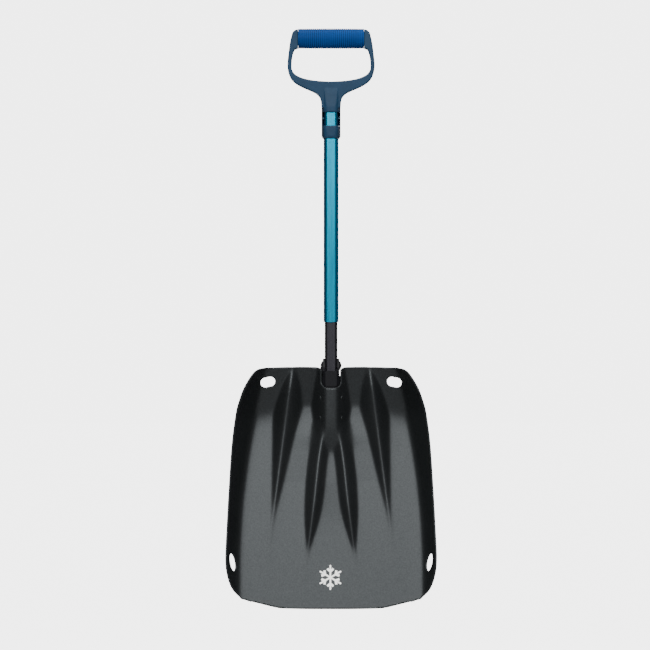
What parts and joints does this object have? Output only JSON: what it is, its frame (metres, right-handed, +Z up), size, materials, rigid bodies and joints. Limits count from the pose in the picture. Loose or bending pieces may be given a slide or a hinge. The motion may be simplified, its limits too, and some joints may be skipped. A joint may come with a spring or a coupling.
{
  "type": "avalanche shovel",
  "caption": "Avalanche shovel with a D-handle, a telescoping trapezoid shaft and a deep ribbed metal scoop that pulls off the shaft.",
  "frame": {"origin": "centre of the grip sleeve", "axes": "+Z up along the shaft towards the grip, X across the scoop, hollow of the scoop facing -Y"},
  "size_m": [0.291, 0.0893, 0.8096],
  "materials": {
    "frame_plastic": "satin moulded nylon",
    "grip_rubber": "matte, ribbed",
    "blue_tube": "satin cyan blue anodised",
    "dark_tube": "satin dark grey anodised",
    "plug_plastic": "moulded",
    "steel": "plain stainless",
    "blade_sheet": "bead-blasted graphite anodised",
    "socket_plastic": "moulded glass-filled nylon",
    "dark_rivet": "dark anodised"
  },
  "bodies": {
    "handle": {"d_handle_frame": "frame_plastic", "grip_sleeve": "grip_rubber", "handle_rivet": "steel", "upper_tube": "blue_tube"},
    "lower_shaft": {"lower_tube": "dark_tube", "top_plug": "plug_plastic", "bottom_plug": "plug_plastic", "shaft_spring": "steel", "blade_spring": "steel"},
    "shaft_lock": {"shaft_button": "steel"},
    "blade_lock": {"blade_button": "steel"},
    "scoop": {"blade": "blade_sheet", "socket": "socket_plastic", "blade_rivets": "dark_rivet"}
  },
  "joints": [
    {"name": "telescope", "type": "slide", "parent": "handle", "child": "lower_shaft", "axis": [0, 0, -1], "range_m": [0, 0.15], "deforming": ["shaft_button"]},
    {"name": "blade_pull", "type": "slide", "parent": "lower_shaft", "child": "scoop", "axis": [0, 0, -1], "range_m": [0, 0.105], "deforming": ["blade_button"]},
    {"name": "shaft_button_press", "type": "slide", "parent": "lower_shaft", "child": "shaft_lock", "axis": [0, -1, 0], "range_m": [0, 0.0036], "stiffness_N_per_m": 2500, "deforming": ["shaft_spring"]},
    {"name": "blade_button_press", "type": "slide", "parent": "lower_shaft", "child": "blade_lock", "axis": [0, -1, 0], "range_m": [0, 0.0055], "stiffness_N_per_m": 2000, "deforming": ["blade_spring"]}
  ]
}
